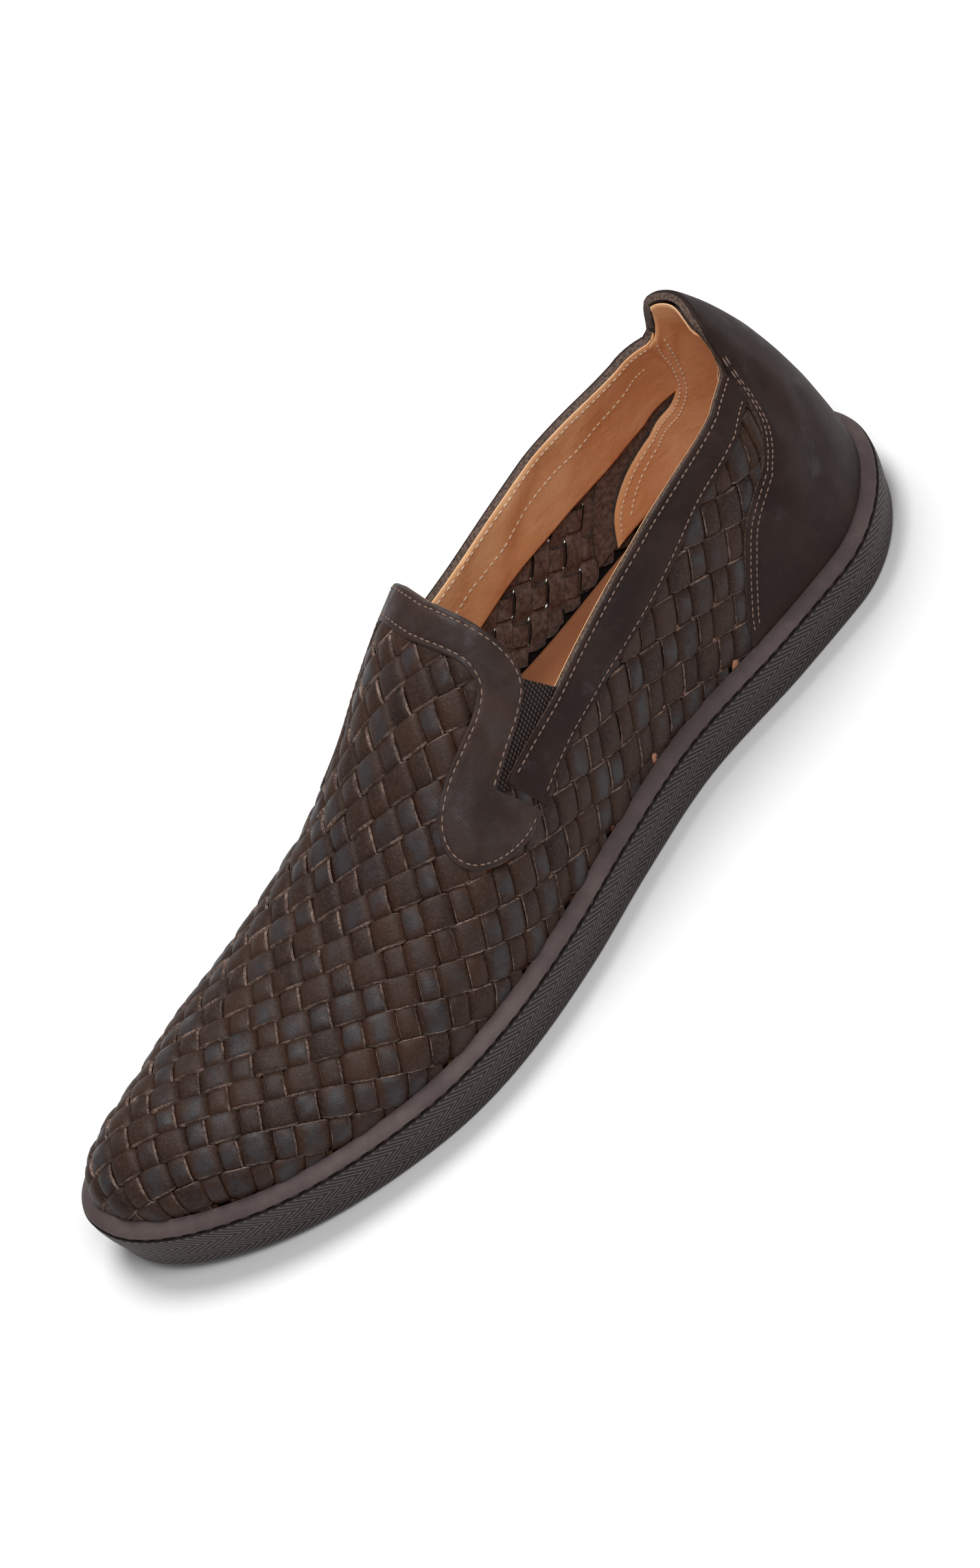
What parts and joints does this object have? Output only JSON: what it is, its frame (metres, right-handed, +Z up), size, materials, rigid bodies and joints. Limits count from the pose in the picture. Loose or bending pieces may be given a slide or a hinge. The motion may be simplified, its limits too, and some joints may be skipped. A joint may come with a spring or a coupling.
{
  "type": "slip-on shoe",
  "caption": "Low slip-on shoe with a woven leather upper, smooth heel counter and collar, elastic side gores and a flat rubber cup sole.",
  "frame": {"origin": "middle of the footprint's bounding box, on the floor", "axes": "+X to the toe, +Y to the wearer's left, which is the outer side of this left shoe, +Z up"},
  "size_m": [0.2998, 0.0946, 0.0916],
  "materials": {
    "cup_sole": "matt dark grey-brown rubber with a fine ribbed wall",
    "insole": "smooth tan leather",
    "upper": "dark brown woven strips, burnished in their middles",
    "heel_counter": "smooth dark brown leather",
    "throat_binding": "smooth dark brown leather",
    "collar_band_outer": "smooth dark brown leather",
    "collar_band_inner": "smooth dark brown leather",
    "gore_outer": "dark brown woven elastic",
    "gore_inner": "dark brown woven elastic"
  },
  "bodies": {
    "root": {"cup_sole": "cup_sole", "insole": "insole", "upper": "upper", "heel_counter": "heel_counter", "throat_binding": "throat_binding", "collar_band_outer": "collar_band_outer", "collar_band_inner": "collar_band_inner", "gore_outer": "gore_outer", "gore_inner": "gore_inner"}
  },
  "joints": []
}
